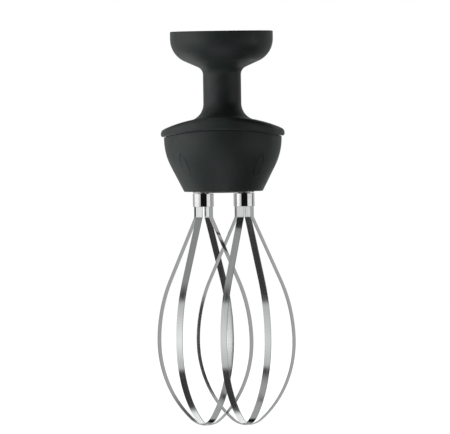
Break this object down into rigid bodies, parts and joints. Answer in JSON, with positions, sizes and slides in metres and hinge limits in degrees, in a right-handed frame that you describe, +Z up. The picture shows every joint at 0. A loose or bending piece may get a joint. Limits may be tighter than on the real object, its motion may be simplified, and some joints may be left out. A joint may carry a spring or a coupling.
{
  "type": "whisk attachment",
  "caption": "Whisk attachment for a stick mixer: a moulded coupling cup, neck and gear housing turn paired whisks of crossed steel strip loops in opposite directions.",
  "frame": {"origin": "on the drive axis, in the plane of the coupling cup's mouth", "axes": "+Z up along the drive axis and out of the coupling cup, +X towards the right whisk in the picture, -Y towards the picture's camera"},
  "size_m": [0.0979, 0.0866, 0.2758],
  "materials": {
    "housing_plastic": "fine moulded grain, satin",
    "strip_steel": "rolled strip, bright along its length",
    "ferrule_steel": "turned and polished",
    "shaft_steel": "ground",
    "screw_steel": "plain",
    "plate_aluminium": "machined",
    "gear_plastic": "moulded, greased",
    "drive_plastic": "moulded, hard",
    "bush_bronze": "sintered, oiled",
    "seal_rubber": "matt"
  },
  "bodies": {
    "head": {"upper_housing": "housing_plastic", "lower_housing": "housing_plastic", "housing_gasket": "seal_rubber", "housing_screws": "screw_steel", "well_plugs": "housing_plastic", "bearing_plate": "plate_aluminium", "plate_screws": "screw_steel", "upper_bearing_outer_ring": "shaft_steel", "lower_bearing_outer_ring": "shaft_steel", "bearing_sleeve": "plate_aluminium", "neck_retaining_ring": "screw_steel", "shaft_seal": "seal_rubber", "pilot_bush": "bush_bronze", "layshaft_upper_bush": "bush_bronze", "layshaft_lower_bush": "bush_bronze", "seal_plate": "strip_steel", "seal_plate_screws": "screw_steel", "left_upper_bush": "bush_bronze", "left_lower_bush": "bush_bronze", "left_spindle_seal": "seal_rubber", "left_thrust_washer": "bush_bronze", "right_upper_bush": "bush_bronze", "right_lower_bush": "bush_bronze", "right_spindle_seal": "seal_rubber", "right_thrust_washer": "bush_bronze"},
    "drive_line": {"drive_shaft": "shaft_steel", "drive_hexagon": "drive_plastic", "hexagon_pin": "screw_steel", "upper_bearing_inner_ring": "shaft_steel", "lower_bearing_inner_ring": "shaft_steel", "shaft_sleeve": "plate_aluminium", "shaft_retaining_ring": "screw_steel"},
    "lay_line": {"layshaft": "shaft_steel", "lay_gear": "gear_plastic"},
    "left_whisk": {"left_spindle": "shaft_steel", "left_whisk_gear": "gear_plastic", "left_drive_pin": "screw_steel", "left_ferrule": "ferrule_steel", "left_outer_loop": "strip_steel", "left_inner_loop": "strip_steel"},
    "right_whisk": {"right_spindle": "shaft_steel", "right_whisk_gear": "gear_plastic", "right_drive_pin": "screw_steel", "right_ferrule": "ferrule_steel", "right_outer_loop": "strip_steel", "right_inner_loop": "strip_steel"}
  },
  "joints": [
    {"name": "left_whisk_spin", "type": "hinge", "parent": "head", "child": "left_whisk", "pos_m": [-0.01425, 0, -0.1], "axis": [0, 0, 1], "continuous": true},
    {"name": "right_whisk_spin", "type": "hinge", "parent": "head", "child": "right_whisk", "pos_m": [0.01425, 0, -0.1], "axis": [0, 0, 1], "continuous": true},
    {"name": "layshaft_spin", "type": "hinge", "parent": "head", "child": "lay_line", "pos_m": [-0.00609, 0.01821, -0.08], "axis": [0, 0, 1], "continuous": true},
    {"name": "drive_spin", "type": "hinge", "parent": "head", "child": "drive_line", "pos_m": [0, 0, -0.05], "axis": [0, 0, 1], "continuous": true}
  ],
  "couplings": [
    {"joint": "right_whisk_spin", "follows": "left_whisk_spin", "ratio": -1},
    {"joint": "layshaft_spin", "follows": "left_whisk_spin", "ratio": -2.5},
    {"joint": "drive_spin", "follows": "left_whisk_spin", "ratio": 7.5}
  ]
}
